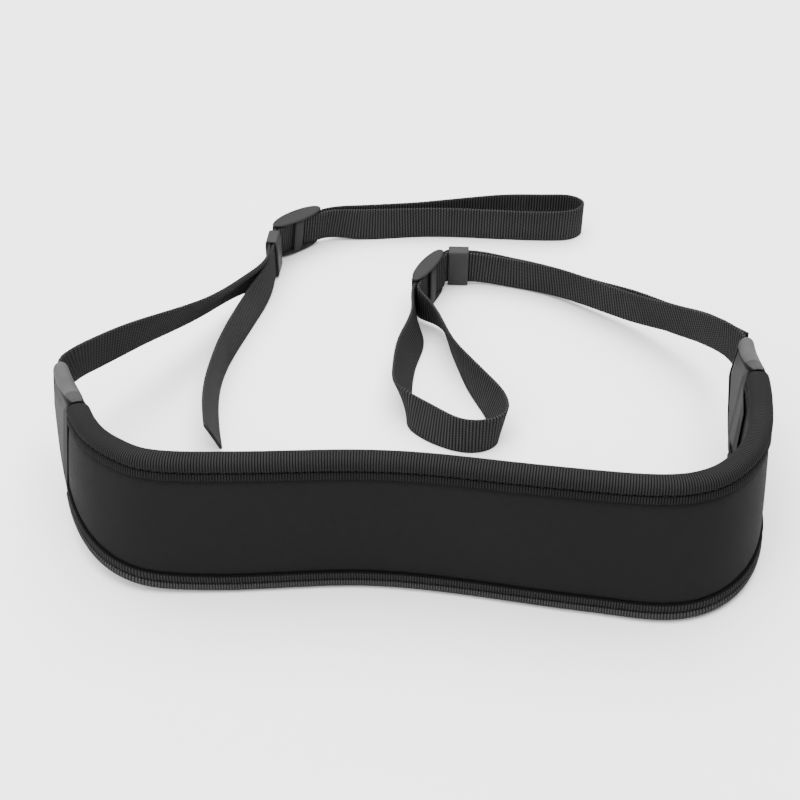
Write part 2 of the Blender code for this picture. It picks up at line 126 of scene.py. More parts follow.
# Painted shade on the tabs: reach of the dark strip next to the pad, shift of the dark line at the
# step between rim and panel, and where the darker rim near the pad ends and how softly
TAB_END_SHADE = 0.7
SEAM_SHADE_SHIFT = 0.45
COLLAR_SHADE_END = 13.0
COLLAR_SHADE_SOFT = 1.8

# Steps between stations, in metres
PAD_STEP = 0.0016
TAB_STEP = 0.0003

# Counts of points round the sections, of points along a rib or a lane, and of frames
PAD_SECTION = 96
TAB_SECTION = 220
RAIL_SECTION = 32
BAR_SECTION = 24
KEEPER_SECTION = 96
STITCH_SIDES = 6
RIB_POINTS = 5
LANE_POINTS = 25
SWELL_FRAMES = 20

# Powers that square the sections off
PAD_POWER = 0.24
TAB_POWER = 0.80
RAIL_POWER = 2.8
BAR_POWER = 3.4
KEEPER_POWER_IN = 9.0
KEEPER_POWER_OUT = 7.0

# Wave lengths of slow unevenness, in metres
PAD_WAVES = [0.0046, 0.0071, 0.0113]
TAPE_WAVES = [0.0052, 0.0083, 0.0131]
WEB_WAVES = [0.031, 0.052, 0.087]

# Pad centre line: across, back, lean
PAD_PATH = [
    (-0.438, 0.180, 8.5), (-0.423, 0.136, 9.5), (-0.401, 0.092, 10.5), (-0.370, 0.054, 10.5),
    (-0.337, 0.031, 8.0), (-0.293, 0.021, 5.0), (-0.233, 0.019, 3.5), (-0.160, 0.022, 2.5),
    (-0.053, 0.026, 2.0), (0.033, 0.018, 2.5), (0.127, 0.000, 3.0), (0.207, -0.016, 4.0),
    (0.280, -0.029, 5.0), (0.327, -0.035, 6.5), (0.365, -0.032, 7.5), (0.402, -0.015, 8.0),
    (0.434, 0.018, 8.0), (0.457, 0.060, 7.0), (0.472, 0.112, 5.5), (0.4795, 0.172, 3.0),
    (0.4825, 0.226, 0.0), (0.4835, 0.262, -1.5),
]

# Pad height along its length, both as shares
PAD_OUTLINE = [
    (0.00, 0.743), (0.05, 0.814), (0.10, 0.893), (0.16, 0.964), (0.24, 1.000),
    (0.76, 1.000), (0.84, 0.964), (0.90, 0.893), (0.95, 0.814), (1.00, 0.743),
]

# Tab centre lines from the pad outwards: across, back, lean
TAB_PATHS = {
    "left": [
        (-0.438, 0.180, -8.5), (-0.453, 0.230, -9.5), (-0.470, 0.291, -9.0), (-0.486, 0.352, -7.0),
    ],
    "right": [
        (0.4835, 0.262, -1.5), (0.487, 0.312, -2.5), (0.492, 0.365, -4.0), (0.4975, 0.419, -5.0),
    ],
}

# Tab height from pad end to web end: share of length, fade from the tall end to the low one
TAB_FADE = [
    (0.000, 0.00), (0.060, 0.06), (0.250, 0.30), (0.450, 0.55),
    (0.650, 0.77), (0.830, 0.91), (1.000, 1.00),
]

# Webbing runs between tab and keeper: across, back, height share, lean
RUN_PATHS = {
    "left": [
        (-0.4882, 0.3615, 0.99, -7.0), (-0.4850, 0.374, 0.98, -5.0),
        (-0.473, 0.389, 1.02, -5.0), (-0.450, 0.415, 1.03, -6.0), (-0.388, 0.494, 0.885, -15.0),
        (-0.307, 0.602, 0.600, -29.0), (-0.253, 0.714, 0.30, -27.0), (-0.222, 0.785, 0.13, -10.0),
    ],
    "right": [
        (0.4890, 0.463, 0.93, 2.0), (0.466, 0.521, 0.72, 9.0),
        (0.423, 0.585, 0.48, 13.0), (0.367, 0.647, 0.26, 10.0), (0.307, 0.705, 0.150, 9.0),
        (0.253, 0.752, 0.07, 8.0), (0.170, 0.790, 0.03, 8.0),
    ],
}

# Keepers and sliders: across, back, heading, lean, height share
KEEPERS = {
    "left": (-0.2110, 0.8420, 84.0, 0.0, 0.09),
    "right": (0.0965, 0.804, 178.0, 6.0, 0.07),
}
SLIDERS = {
    "left": (-0.1765, 0.9105, 35.0, -11.0, 0.125),
    "right": (0.0470, 0.745, 240.5, 0.0, 0.095),
}

# Webbing loops from slider back to slider: across, back, height share, lean
LOOP_PATHS = {
    "left": [
        (-0.075, 0.969, 0.02, -2.0), (0.033, 0.983, 0.00, -1.0), (0.117, 1.000, 0.00, -1.0),
        (0.200, 1.011, 0.00, -1.0), (0.267, 1.011, 0.00, -1.0), (0.303, 1.004, 0.00, -1.0),
        (0.316, 0.984, 0.00, 0.0), (0.304, 0.961, 0.00, 2.0), (0.267, 0.950, 0.00, 4.0),
        (0.170, 0.955, 0.00, 5.0), (0.033, 0.963, 0.00, 4.0), (-0.075, 0.954, 0.02, 3.0),
    ],
    "right": [
        (0.0535, 0.655, 0.05, -17.5), (0.0725, 0.600, 0.02, -15.5), (0.0870, 0.540, 0.00, -9.5),
        (0.1079, 0.480, 0.00, 4.0), (0.1304, 0.428, -0.01, 13.5), (0.1475, 0.380, -0.02, 17.5),
        (0.1470, 0.340, -0.01, 8.0), (0.1215, 0.3195, 0.00, 0.0), (0.0840, 0.3225, 0.00, -4.0),
        (0.0560, 0.3425, -0.01, -11.0), (0.0290, 0.3680, -0.01, -12.0),
        (0.0125, 0.3900, 0.00, -2.0), (0.0050, 0.4150, -0.02, 16.0), (0.0035, 0.4750, -0.04, 26.0),
        (0.0125, 0.5550, -0.03, 24.5), (0.0265, 0.6280, 0.01, 16.0),
    ],
}

# Webbing tails from keeper to cut tip: across, back, height share, lean
TAIL_PATHS = {
    "left": [
        (-0.216, 0.768, 0.04, -3.0), (-0.2350, 0.697, 0.00, -8.0), (-0.2555, 0.622, 0.00, -7.5),
        (-0.2725, 0.550, 0.00, -6.0), (-0.2815, 0.480, 0.00, -7.0), (-0.2830, 0.425, 0.00, -13.0),
        (-0.2795, 0.370, -0.01, -17.5), (-0.2722, 0.318, -0.01, -19.0),
    ],
    "right": [
        (0.1717, 0.7960, 0.03, -8.0), (0.2565, 0.7590, 0.02, -10.0), (0.3115, 0.7140, 0.09, -11.0),
        (0.3750, 0.6590, 0.22, -10.0), (0.4300, 0.5930, 0.39, -10.0), (0.4735, 0.5275, 0.65, -7.0),
        (0.4975, 0.4650, 0.85, -3.0), (0.5060, 0.4340, 0.97, 0.0),
    ],
}

# Cut tips: how far the upper and the lower edge run past the last row
TIP_REACH = {"left": (0.0016, -0.0012), "right": (0.0030, -0.0030)}

UPWARDS = np.array([0.0, 0.0, 1.0])
SEAT_HEIGHT = WEB_WIDTH / 2.0
MIDDLE_HEIGHT = PAD_HEIGHT / 2.0
LANE_OFFSET = (WEB_THICKNESS + LANE_GAP) / 2.0


def smooth_values(knots, values, where):
    """Natural cubic spline through rows of values at the given knots."""
    x, y = np.asarray(knots, float), np.asarray(values, float)
    step, count = np.diff(x), len(x)
    matrix, right = np.eye(count), np.zeros_like(y)
    i = np.arange(1, count - 1)
    matrix[i, i - 1], matrix[i, i + 1] = step[i - 1], step[i]
    matrix[i, i] = 2.0 * (step[i - 1] + step[i])
    slope = np.diff(y, axis=0) / step[:, None]
    right[i] = 6.0 * (slope[i] - slope[i - 1])
    bend = np.linalg.solve(matrix, right)
    k = np.clip(np.searchsorted(x, where, side="right") - 1, 0, count - 2)
    before, after, width = (x[k + 1] - where)[:, None], (where - x[k])[:, None], step[k][:, None]
    cubic = (bend[k] * before ** 3 + bend[k + 1] * after ** 3) / (6.0 * width)
    from_start = (y[k] / width - bend[k] * width / 6.0) * before
    from_end = (y[k + 1] / width - bend[k + 1] * width / 6.0) * after
    return cubic + from_start + from_end


def distances(points):
    """Distance of every point along the line through them all."""
    steps = np.linalg.norm(np.diff(points, axis=0), axis=1)
    return np.concatenate([[0.0], np.cumsum(steps)])


def resample(dense, step):
    """Evenly spaced samples along a dense curve."""
    along = distances(dense[:, :3])
    at = np.linspace(0.0, along[-1], max(2, int(round(along[-1] / step)) + 1))
    return np.stack([np.interp(at, along, column) for column in dense.T], axis=1)


def even_curve(rows, step):
    """Smooth curve through rows of x, y, z, lean with evenly spaced samples."""
    rows = np.asarray(rows, float)
    knots = distances(rows[:, :3])
    return resample(smooth_values(knots, rows, np.linspace(0.0, knots[-1], 40 * len(rows))), step)


def unit(vectors):
    """Vectors of length one."""
    return vectors / np.linalg.norm(vectors, axis=-1, keepdims=True)


def travel_of(points):
    """Direction of travel at every point of a curve."""
    return unit(np.gradient(points, axis=0))


def frame_of(curve):
    """Points, width and side directions of a curve of x, y, z, lean."""
    points = curve[:, :3]
    travel = travel_of(points)
    left = unit(np.stack([-travel[:, 1], travel[:, 0], np.zeros(len(travel))], axis=1))
    lean = np.radians(curve[:, 3])[:, None]
    width = np.cos(lean) * UPWARDS + np.sin(lean) * left
    width = unit(width - np.sum(width * travel, axis=1)[:, None] * travel)
    return points, width, np.cross(width, travel)


def place(row):
    """Row of shares to x, y, z, lean in the frame's own place."""
    across, back, height, lean = row
    z = SEAT_HEIGHT + height * (MIDDLE_HEIGHT - SEAT_HEIGHT)
    return (across * RING_WIDTH - MIDDLE[0], back * RING_DEPTH - MIDDLE[1], z, lean)


def standing_curve(rows):
    """Centre line of the pad or a tab, a little sunk, from rows of across, back, lean."""
    places = [place((across, back, 1.0, lean)) for across, back, lean in rows]
    curve = even_curve(places, FINE_STEP)
    curve[:, 2] -= FLOOR_SINK
    return curve


def ease(x, low, high):
    """Smooth step from 0 at low to 1 at high."""
    t = np.clip((x - low) / (high - low), 0.0, 1.0)
    return t * t * (3.0 - 2.0 * t)


def ripple(x, seed, waves):
    """Sum of a few sines with seeded phases, about -1 to 1."""
    rng = np.random.default_rng(seed)
    phase = rng.uniform(0.0, 2.0 * np.pi, len(waves))
    waved = [np.sin(2.0 * np.pi * np.asarray(x) / w + p) for w, p in zip(waves, phase)]
    return sum(waved) / len(waves)


def bell(x, centre, width):
    """Bell curve: e to minus the square of the distance from the centre over the width."""
    return np.exp(-((x - centre) / width) ** 2)


def rounding(distance, radius):
    """Quarter circle from 0 at no distance to 1 at the radius and beyond."""
    return np.sqrt(1.0 - (1.0 - np.clip(distance / radius, 0.0, 1.0)) ** 2)


def signed_power(values, power):
    """Power of the size of each value, with the sign kept."""
    return np.sign(values) * np.abs(values) ** power


def read_at(where, knots, rows):
    """Rows of three values read off at places between the knots."""
    return np.stack([np.interp(where, knots, rows[:, c]) for c in range(3)], axis=-1)


def linked(name, data):
    """New object of the given data, put into the scene."""
    obj = bpy.data.objects.new(name, data)
    bpy.context.collection.objects.link(obj)
    return obj


def read_points(mesh):
    """Places of all vertices of a mesh."""
    flat = np.empty(len(mesh.vertices) * 3, np.float32)
    mesh.vertices.foreach_get("co", flat)
    return flat.reshape(-1, 3)


def grid_object(name, points, along, around, material, closed=True, caps=True):
    """One mesh from a grid of points, with a UV map of along and around in centimetres.

    points is stations by section points; closed joins the last section point to the first, and
    caps close both ends.
    """
    rows, count = points.shape[:2]
    spans = count if closed else count - 1
    i, j = np.meshgrid(np.arange(rows - 1), np.arange(spans), indexing="ij")
    k = (j + 1) % count
    here, beyond = i * count, (i + 1) * count
    quads = np.stack([here + j, here + k, beyond + k, beyond + j], axis=-1).reshape(-1, 4)
    u = np.repeat(along[:, None], spans + 1, axis=1)
    v = np.broadcast_to(around, (rows, spans + 1))
    uv = np.stack([u, v], axis=-1) * 100.0
    corners = np.stack([uv[i, j], uv[i, j + 1], uv[i + 1, j + 1], uv[i + 1, j]], axis=2)
    corners = corners.reshape(-1, 2)
    loops = quads.reshape(-1)
    starts = np.arange(len(quads)) * 4
    if caps:
        ends = np.concatenate([np.arange(count)[::-1], (rows - 1) * count + np.arange(count)])
        starts = np.concatenate([starts, [len(loops), len(loops) + count]])
        loops = np.concatenate([loops, ends])
        corners = np.concatenate([corners, uv[0, :count][::-1], uv[-1, :count]])
    mesh = bpy.data.meshes.new(name)
    mesh.vertices.add(rows * count)
    mesh.vertices.foreach_set("co", points.reshape(-1))
    mesh.loops.add(len(loops))
    mesh.loops.foreach_set("vertex_index", loops.astype(np.int32))
    mesh.polygons.add(len(starts))
    mesh.polygons.foreach_set("loop_start", starts.astype(np.int32))
    mesh.update(calc_edges=True)
    layer = mesh.uv_layers.new(name="UVMap")
    layer.data.foreach_set("uv", corners.astype(np.float32).reshape(-1))
    mesh.validate()
    mesh.shade_smooth()
    mesh.materials.append(material)
    return linked(name, mesh)


def face_out(obj):
    """Turn all faces outwards and drop doubled points."""
    bm = bmesh.new()
    bm.from_mesh(obj.data)
    bmesh.ops.remove_doubles(bm, verts=list(bm.verts), dist=0.000002)
    bmesh.ops.recalc_face_normals(bm, faces=list(bm.faces))
    bm.to_mesh(obj.data)
    bm.free()
    return obj


def joined(name, objects):
    """Several meshes as one object."""
    bm = bmesh.new()
    for obj in objects:
        bm.from_mesh(obj.data)
    mesh = bpy.data.meshes.new(name)
    bm.to_mesh(mesh)
    bm.free()
    mesh.materials.append(objects[0].data.materials[0])
    for obj in objects:
        bpy.data.objects.remove(obj, do_unlink=True)
    return linked(name, mesh)


def swept(points, width, side, out, up):
    """Grid of points from a section of out and up at every station."""
    sideways = side[:, None, :] * out[..., None]
    return points[:, None, :] + sideways + width[:, None, :] * up[..., None]


# Materials
class Paint:
    """Small helper that builds a node material around one Principled shader."""

    def __init__(self, name, colour, roughness, gloss):
        self.material = bpy.data.materials.new(name)
        self.material.use_nodes = True
        self.tree = self.material.node_tree
        self.shader = self.tree.nodes["Principled BSDF"]
        self.shader.inputs["Base Color"].default_value = (*colour, 1.0)
        self.shader.inputs["Roughness"].default_value = roughness
        self.shader.inputs["Specular IOR Level"].default_value = gloss

    def node(self, kind, **settings):
        node = self.tree.nodes.new(kind)
        for key, value in settings.items():
            setattr(node, key, value)
        return node

    def link(self, a, b):
        self.tree.links.new(a, b)

    def math(self, operation, a, b=None, c=None):
        node = self.node("ShaderNodeMath", operation=operation)
        for socket, value in zip(node.inputs, (a, b, c)):
            if value is None:
                continue
            if isinstance(value, (int, float)):
                socket.default_value = value
            else:
                self.link(value, socket)
        return node.outputs[0]

    def times(self, first, *others):
        """Product of values."""
        for value in others:
            first = self.math("MULTIPLY", first, value)
        return first

    def weighted(self, first, *others):
        """Sum of values times weights, from pairs of both."""
        total = self.math("MULTIPLY", *first)
        for pair in others:
            total = self.math("ADD", total, self.math("MULTIPLY", *pair))
        return total

    def clamped(self, value, low=0.0):
        """The value held between low and 1."""
        return self.math("MINIMUM", self.math("MAXIMUM", value, low), 1.0)

    def raised(self, share, low):
        """From low to 1 as the share goes from 0 to 1."""
        return self.math("MULTIPLY_ADD", share, 1.0 - low, low)

    def calmed(self, value, level, shown):
        """The value drawn to a level where the share shown falls."""
        return self.math("MULTIPLY_ADD", self.math("SUBTRACT", value, level), shown, level)

    def wave(self, phase):
        """Size of the sine of half turns."""
        return self.math("ABSOLUTE", self.math("SINE", self.math("MULTIPLY", phase, math.pi)))

    def ends(self, along, length, reach, low):
        """Share that falls to low within reach of both ends of a length."""
        near = self.math("MINIMUM", along, self.math("SUBTRACT", length, along))
        return self.raised(self.clamped(self.math("DIVIDE", near, reach)), low)

    def along_across(self):
        """Distances along and across in millimetres, from the UV map."""
        layer = self.node("ShaderNodeUVMap", uv_map="UVMap")
        mapping = self.node("ShaderNodeMapping")
        mapping.inputs["Scale"].default_value = (10.0, 10.0, 1.0)
        self.link(layer.outputs[0], mapping.inputs[0])
        split = self.node("ShaderNodeSeparateXYZ")
        self.link(mapping.outputs[0], split.inputs[0])
        return split.outputs[0], split.outputs[1]

    def noise(self, scale, detail, roughness=0.5):
        """Noise over the object's own place in millimetres."""
        where = self.node("ShaderNodeTexCoord")
        mapping = self.node("ShaderNodeMapping")
        mapping.inputs["Scale"].default_value = (1000.0, 1000.0, 1000.0)
        self.link(where.outputs["Object"], mapping.inputs[0])
        node = self.node("ShaderNodeTexNoise")
        node.inputs["Scale"].default_value = scale
        node.inputs["Detail"].default_value = detail
        node.inputs["Roughness"].default_value = roughness
        self.link(mapping.outputs[0], node.inputs["Vector"])
        return node.outputs[0]

    def colour(self, value, stops):
        """Colour from a ramp of position and grey level."""
        node = self.node("ShaderNodeValToRGB")
        elements = node.color_ramp.elements
        while len(elements) < len(stops):
            elements.new(0.5)
        for element, (position, grey) in zip(elements, stops):
            element.position = position
            element.color = (grey, grey, grey, 1.0)
        self.link(value, node.inputs[0])
        self.link(node.outputs[0], self.shader.inputs["Base Color"])

    def rough(self, base, value, weight):
        """Roughness of a base plus a value times its weight."""
        total = self.math("ADD", base, self.math("MULTIPLY", value, weight))
        self.link(total, self.shader.inputs["Roughness"])

    def bump(self, heights):
        """Chain of bumps from pairs of height value and distance in metres."""
        last = None
        for height, distance in heights:
            node = self.node("ShaderNodeBump")
            node.inputs["Distance"].default_value = distance
            self.link(height, node.inputs["Height"])
            if last is not None:
                self.link(last, node.inputs["Normal"])
            last = node.outputs[0]
        self.link(last, self.shader.inputs["Normal"])


def woven(name, pitch, yarn, cross, flat, dark, light, length, calm=None, dotted=False,
          sewn=None, lip=1.0):
    """Ribbed woven cloth: each rib is a half sine along, yarns cross it, with fuzz and slow drift.

    cross is how much the crossing yarns darken a rib, flat is the tone left between ribs, and
    calm is the reach over which ribs fade at the ends, where a dotted cloth keeps its crossing
    yarns. length, pitch, yarn and calm are in millimetres.
    sewn is the tone share left on the sewn-down line of a folded tape, a groove darkened with
    painted shade, and lip is the tone share past that line;
    the ends and edges of such a tape are darkened with painted shade where they meet the tabs and
    the pad.
    """
    paint = Paint(name, (dark, dark, dark), 0.85, 0.03)
    along, across = paint.along_across()
    phase = paint.math("DIVIDE", along, pitch)
    shift = paint.math("MULTIPLY", paint.math("MODULO", paint.math("FLOOR", phase), 2.0), 0.5)
    strand = paint.wave(paint.math("ADD", paint.math("DIVIDE", across, yarn), shift))
    knot = paint.raised(paint.wave(phase), flat)
    if dotted:
        knot = paint.calmed(knot, 0.82, paint.ends(along, length, calm, 0.20))
    knot = paint.times(knot, paint.raised(strand, 1.0 - cross))
    if calm is not None and not dotted:
        knot = paint.calmed(knot, 0.58, paint.ends(along, length, calm, 0.15))
    fuzz = paint.noise(2.6, 3.0, 0.6)
    drift = paint.noise(0.035, 2.0)
    tone = paint.weighted((knot, 0.74), (fuzz, 0.20), (drift, 0.12))
    # Painted shade: the groove along the sewn line, the crevice at the tape's edge and the tape's
    # ends are darkened
    if sewn is not None:
        from_crest = paint.math("ABSOLUTE", across)
        line = SEWN_FROM_CREST * 1000.0
        gap = paint.math("ABSOLUTE", paint.math("SUBTRACT", from_crest, line))
        gap = paint.math("MINIMUM", paint.math("DIVIDE", gap, SEWN_SHADE_REACH), 1.0)
        groove = paint.raised(paint.math("POWER", gap, 1.6), sewn)
        past = paint.math("GREATER_THAN", from_crest, line)
        past = paint.math("MULTIPLY_ADD", past, lip - 1.0, 1.0)
        edge = paint.math("DIVIDE", paint.math("SUBTRACT", TAPE_EDGE, from_crest), TAPE_EDGE_SHADE)
        edge = paint.clamped(edge, 0.1)
        end_shade = paint.ends(along, length, TAPE_END_SHADE, 0.15)
        tone = paint.times(tone, groove, past, edge, end_shade)
    paint.colour(tone, [(0.26, dark * 0.22), (0.52, dark), (0.95, light)])
    paint.rough(0.74, fuzz, 0.20)
    paint.bump([(knot, 0.00020), (fuzz, 0.00008)])
    return paint.material


def neoprene(name):
    """Smooth knit-faced foam rubber: very fine knit grain, soft broad sheen, faint marks."""
    paint = Paint(name, (0.008, 0.008, 0.008), 0.60, 0.02)
    along, across = paint.along_across()
    wale = paint.math("SINE", paint.math("MULTIPLY", along, 2.0 * math.pi / KNIT_WALE))
    course = paint.math("SINE", paint.math("MULTIPLY", across, 2.0 * math.pi / KNIT_COURSE))
    knit = paint.math("MULTIPLY_ADD", paint.times(wale, course), 0.5, 0.5)
    fuzz = paint.noise(1.7, 4.0, 0.65)
    drift = paint.noise(0.022, 3.0, 0.55)
    tone = paint.weighted((fuzz, 0.45), (drift, 0.40), (knit, 0.15))
    paint.colour(tone, [(0.20, 0.0078), (0.55, 0.0096), (0.90, 0.0122)])
    paint.rough(0.55, drift, 0.20)
    paint.bump([(knit, 0.00003), (fuzz, 0.00006)])
    return paint.material


def vinyl(name, grey, roughness, gloss, seam_shaded=False):
    """Moulded soft plastic: satin gloss, fine orange-peel grain, faint rubbed patches.

    A seam-shaded one has painted shade: darker next to the pad, a dark line on the step between its
    rim and its panel, a panel darker than the rim to offset the light falling on it, and a darker
    rim near the pad.
    """
    paint = Paint(name, (grey, grey, grey), roughness, gloss)
    peel = paint.noise(1.15, 3.0, 0.55)
    drift = paint.noise(0.05, 3.0)
    speck = paint.noise(4.0, 2.0, 0.6)
    level = paint.math("MULTIPLY_ADD", speck, 0.14, 0.33)
    tone = paint.math("ADD", paint.math("MULTIPLY", drift, 0.20), level)
    shares = [(0.40, 0.78), (0.50, 1.0), (0.60, 1.22)]
    if seam_shaded:
        # Painted shade: dark next to the pad, a dark line at the rim's step, the panel darkened
        # against the light on it, and the rim darker near the pad
        along, inward = paint.along_across()
        start = paint.math("MINIMUM", paint.math("DIVIDE", along, TAB_END_SHADE), 1.0)
        inside = paint.math("ADD", inward, SEAM_SHADE_SHIFT)
        line = paint.math("MINIMUM", paint.math("ABSOLUTE", inside), 1.0)
        line = paint.math("POWER", line, 2.2)
        panel = paint.math("GREATER_THAN", inside, 0.0)
        panel = paint.math("MULTIPLY_ADD", panel, -0.26, 1.0)
        collar_shade = paint.math("DIVIDE", paint.math("SUBTRACT", COLLAR_SHADE_END, along), COLLAR_SHADE_SOFT)
        collar_shade = paint.times(paint.clamped(collar_shade), paint.math("LESS_THAN", inside, 0.0))
        collar_shade = paint.math("MULTIPLY_ADD", collar_shade, -0.20, 1.0)
        tone = paint.times(tone, collar_shade, panel, paint.times(start, line))
        shares = [(0.02, 0.04), (0.22, 0.16), (0.37, 0.43), (0.50, 0.94), (0.60, 1.15)]
    paint.colour(tone, [(position, grey * share) for position, share in shares])
    paint.rough(roughness - 0.08, drift, 0.18)
    paint.bump([(peel, 0.00009), (speck, 0.00002)])
    return paint.material


def thread_paint(name):
    """Twisted polyester thread: uneven fibres and a slight shine."""
    paint = Paint(name, (0.02, 0.02, 0.021), 0.55, 0.08)
    fuzz = paint.noise(6.0, 2.0, 0.6)
    paint.colour(fuzz, [(0.2, 0.002), (0.8, 0.009)])
    paint.bump([(fuzz, 0.00006)])
    return paint.material


pad_curve = standing_curve(PAD_PATH)
pad_points, pad_width, pad_side = frame_of(pad_curve)
pad_length = FINE_STEP * (len(pad_curve) - 1)
tape_ribs = int(round(pad_length / TAPE_RIB))
tape_length = tape_ribs * TAPE_RIB * 1000.0

upper_cloth = woven(
    "upper_tape_cloth", TAPE_RIB * 1000.0, TAPE_YARN, cross=0.34, flat=0.0, dark=0.0080,
    light=0.0245, length=tape_length, calm=UPPER_TAPE_CALM, sewn=0.05, lip=0.90)
# Painted light: the lower tape is a lighter copy of the upper tape's cloth, which lifts its roll
# out of the shade it faces; its lip share keeps the lip darker, and its groove shade is weaker
lower_cloth_painted_light = woven(
    "lower_tape_cloth_painted_light", TAPE_RIB * 1000.0, TAPE_YARN, cross=0.38, flat=0.12, dark=0.0200,
    light=0.060, length=tape_length, sewn=0.40, lip=0.72)
foam_cloth = neoprene("neoprene_face")
# The tab's vinyl carries painted shade next to the pad, at the rim's step, on its panel and on the
# rim near the pad
tab_vinyl = vinyl("moulded_vinyl", 0.066, 0.48, 0.006, seam_shaded=True)
slider_nylon = vinyl("slider_nylon", 0.0225, 0.44, 0.035)
keeper_nylon = vinyl("keeper_nylon", 0.0305, 0.44, 0.035)
seam_thread = thread_paint("seam_thread")

# Pad
outline = np.array(PAD_OUTLINE)


def pad_height_at(share):
    """Height of the bound pad at shares of its length."""
    height = PAD_HEIGHT * smooth_values(outline[:, 0], outline[:, 1:], share)[:, 0]
    return np.minimum(height, PAD_HEIGHT)


def stations(curve, step):
    """The curve sampled afresh at a step, with its directions and the share of its length."""
    fresh = resample(curve, step)
    return *frame_of(fresh), np.linspace(0.0, 1.0, len(fresh))


def pad_body():
    """Neoprene slab, pinched under the tape and rounded at its ends.

    Round the section the height is the sine of the turn, and the half thickness is its cosine
    to a low power, so that the faces are flat and the edges round.
    """
    points, width, side, share = stations(pad_curve, PAD_STEP)
    top = pad_height_at(share)[:, None] / 2.0
    turn = np.linspace(0.0, 2.0 * np.pi, PAD_SECTION, endpoint=False)
    up = (top - TAPE_THICKNESS) * np.sin(turn)[None, :]
    edge = top - np.abs(up)
    pinch = 1.0 - ease(edge, TAPE_LEG - 0.0012, TAPE_LEG + 0.0016)
    half = PAD_THICKNESS / 2.0 - PAD_PINCH * pinch
    end = np.minimum(share, 1.0 - share)[:, None] * pad_length
    half = half * (0.45 + 0.55 * rounding(end, PAD_END_ROUND))
    pull = PAD_PULL * ripple(share * pad_length, 3, PAD_WAVES)[:, None]
    half = half + pull * bell(edge, TAPE_LEG + 0.003, 0.0025)
    out = signed_power(np.cos(turn), PAD_POWER)[None, :] * half
    around = np.concatenate([turn, [2.0 * np.pi]]) / (2.0 * np.pi) * 0.15
    grid = swept(points, width, side, out, up)
    obj = grid_object("pad_foam", grid, share * pad_length, around, foam_cloth)
    face_out(obj)
    held = 1.0 - ease(edge, TAPE_LEG + 0.0004, TAPE_LEG + 0.0060)
    held = np.maximum(held, 1.0 - ease(end, 0.001, 0.007))
    return obj, held.reshape(-1)


def swell(obj, held):
    """Cloth under pressure, held where sewn; no point moves further than the cap."""
    mesh = obj.data
    rest = read_points(mesh)
    group = obj.vertex_groups.new(name="sewn")
    levels = np.round(held * 8.0) / 8.0
    for level in np.unique(levels):
        if level > 0.0:
            group.add(np.flatnonzero(levels == level).tolist(), float(level), "REPLACE")
    cloth = obj.modifiers.new("swell", "CLOTH")
    cloth.settings.quality = 4
    cloth.settings.mass = 0.15
    cloth.settings.tension_stiffness = 25.0
    cloth.settings.compression_stiffness = 25.0
    cloth.settings.shear_stiffness = 10.0
    cloth.settings.bending_stiffness = 1.0
    cloth.settings.vertex_group_mass = "sewn"
    cloth.settings.use_pressure = True
    cloth.settings.uniform_pressure_force = 4.0
    cloth.settings.effector_weights.gravity = 0.0
    cloth.collision_settings.use_collision = False
    cloth.point_cache.frame_start, cloth.point_cache.frame_end = 1, SWELL_FRAMES
    scene = bpy.context.scene
    for number in range(1, SWELL_FRAMES + 1):
        scene.frame_set(number)
    evaluated = obj.evaluated_get(bpy.context.evaluated_depsgraph_get())
    moved = read_points(evaluated.data)
    obj.modifiers.remove(cloth)
    scene.frame_set(1)
    step = moved - rest
    size = np.linalg.norm(step, axis=1, keepdims=True)
    step *= np.minimum(1.0, SWELL_CAP / np.maximum(size, 1e-9)) * (1.0 - held)[:, None]
    mesh.vertices.foreach_set("co", (rest + step).reshape(-1))
    mesh.update()


pad_foam, sewn = pad_body()
if len(sewn) == len(pad_foam.data.vertices):
    swell(pad_foam, sewn)
pad_co = read_points(pad_foam.data)
pad_co[:, 2] = np.maximum(pad_co[:, 2], PAD_CLEAR)
pad_foam.data.vertices.foreach_set("co", pad_co.reshape(-1))
smooth = pad_foam.modifiers.new("smooth", "SUBSURF")
smooth.levels = smooth.render_levels = 1
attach(pad_foam, "root")
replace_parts(pad_foam, "pad")

# Binding tapes

# Fold of the tape on one side from the crest down: out from the pad's middle, down from the top
FOLD = [
    (0.0000, 0.0000), (0.0016, 0.0001), (0.0030, 0.0006), (0.0040, 0.0015), (0.0046, 0.0027),
    (0.0047, 0.0038), (0.0044, 0.0047), (0.0040, 0.0053), (0.0042, 0.0058), (0.00455, 0.0066),
    (0.00465, 0.0077), (0.0046, 0.0088), (0.0043, 0.0094), (0.0038, 0.0097), (0.0034, 0.0095),
]


